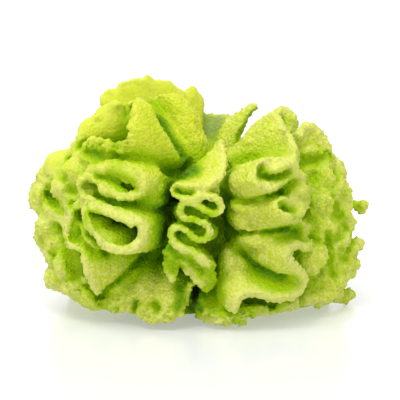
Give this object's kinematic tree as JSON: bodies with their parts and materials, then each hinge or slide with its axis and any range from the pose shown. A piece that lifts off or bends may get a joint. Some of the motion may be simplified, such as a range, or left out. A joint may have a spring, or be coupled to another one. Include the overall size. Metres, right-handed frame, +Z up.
{
  "type": "piped wasabi paste dollop",
  "caption": "Ruffled dollop of piped wasabi paste with folded fins round an upright core, flared petals on top and a flat underside to rest on.",
  "frame": {"origin": "on the surface that the dollop rests on, under the middle of its bounding box", "axes": "+Z up, -Y towards the side with the narrow centre ruffle, +X to the right of it, along the dollop's greatest width"},
  "size_m": [0.0497, 0.0451, 0.0332],
  "materials": {
    "wasabi_paste": "soft, moist, finely grainy green paste"
  },
  "bodies": {
    "root": {"wasabi_paste": "wasabi_paste"}
  },
  "joints": []
}
